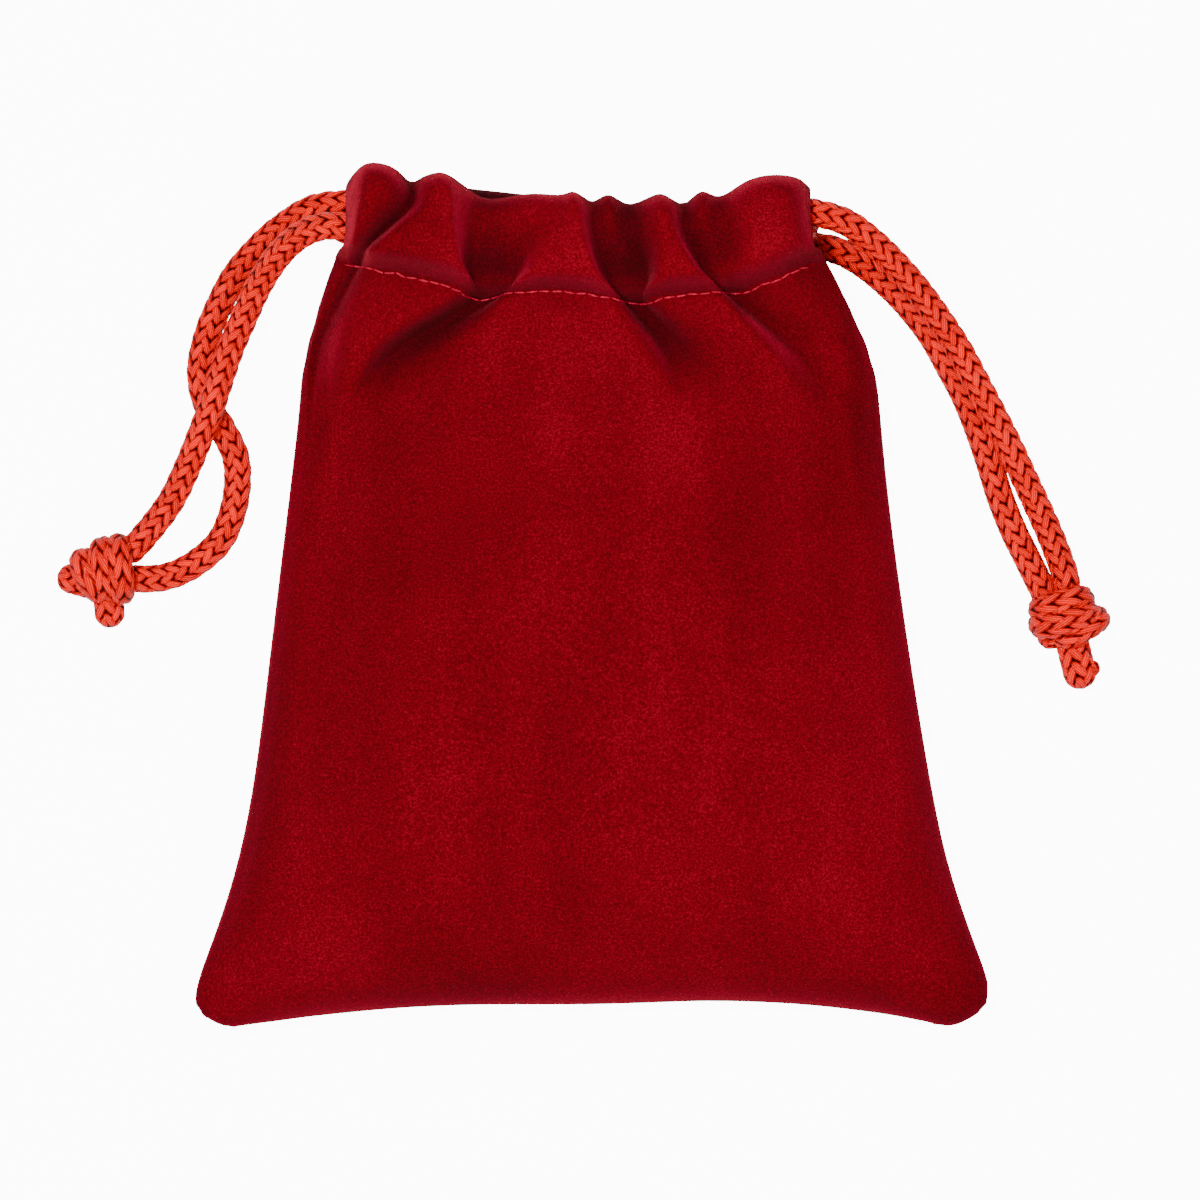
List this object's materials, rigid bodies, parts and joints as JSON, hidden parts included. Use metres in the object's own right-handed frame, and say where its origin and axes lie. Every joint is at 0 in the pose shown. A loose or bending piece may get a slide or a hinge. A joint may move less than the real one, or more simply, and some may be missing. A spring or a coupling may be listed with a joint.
{
  "type": "drawstring pouch",
  "caption": "Velvet drawstring pouch lying flat, with a gathered casing heading and braided cords knotted at each side.",
  "frame": {"origin": "centre of the pouch's plan, cords left out, on the surface that its back lies on", "axes": "+X across the pouch to its right, +Y up to its mouth, +Z from the back panel to the front panel"},
  "size_m": [0.1885, 0.1539, 0.0337],
  "materials": {
    "velvet": "matte",
    "sewing_thread": "satin",
    "braided_cord": "satin"
  },
  "bodies": {
    "root": {"front_panel": "velvet", "back_panel": "velvet", "front_casing_thread": "sewing_thread", "back_casing_thread": "sewing_thread", "left_drawcord": "braided_cord", "right_drawcord": "braided_cord", "left_knot": "braided_cord", "right_knot": "braided_cord"}
  },
  "joints": []
}
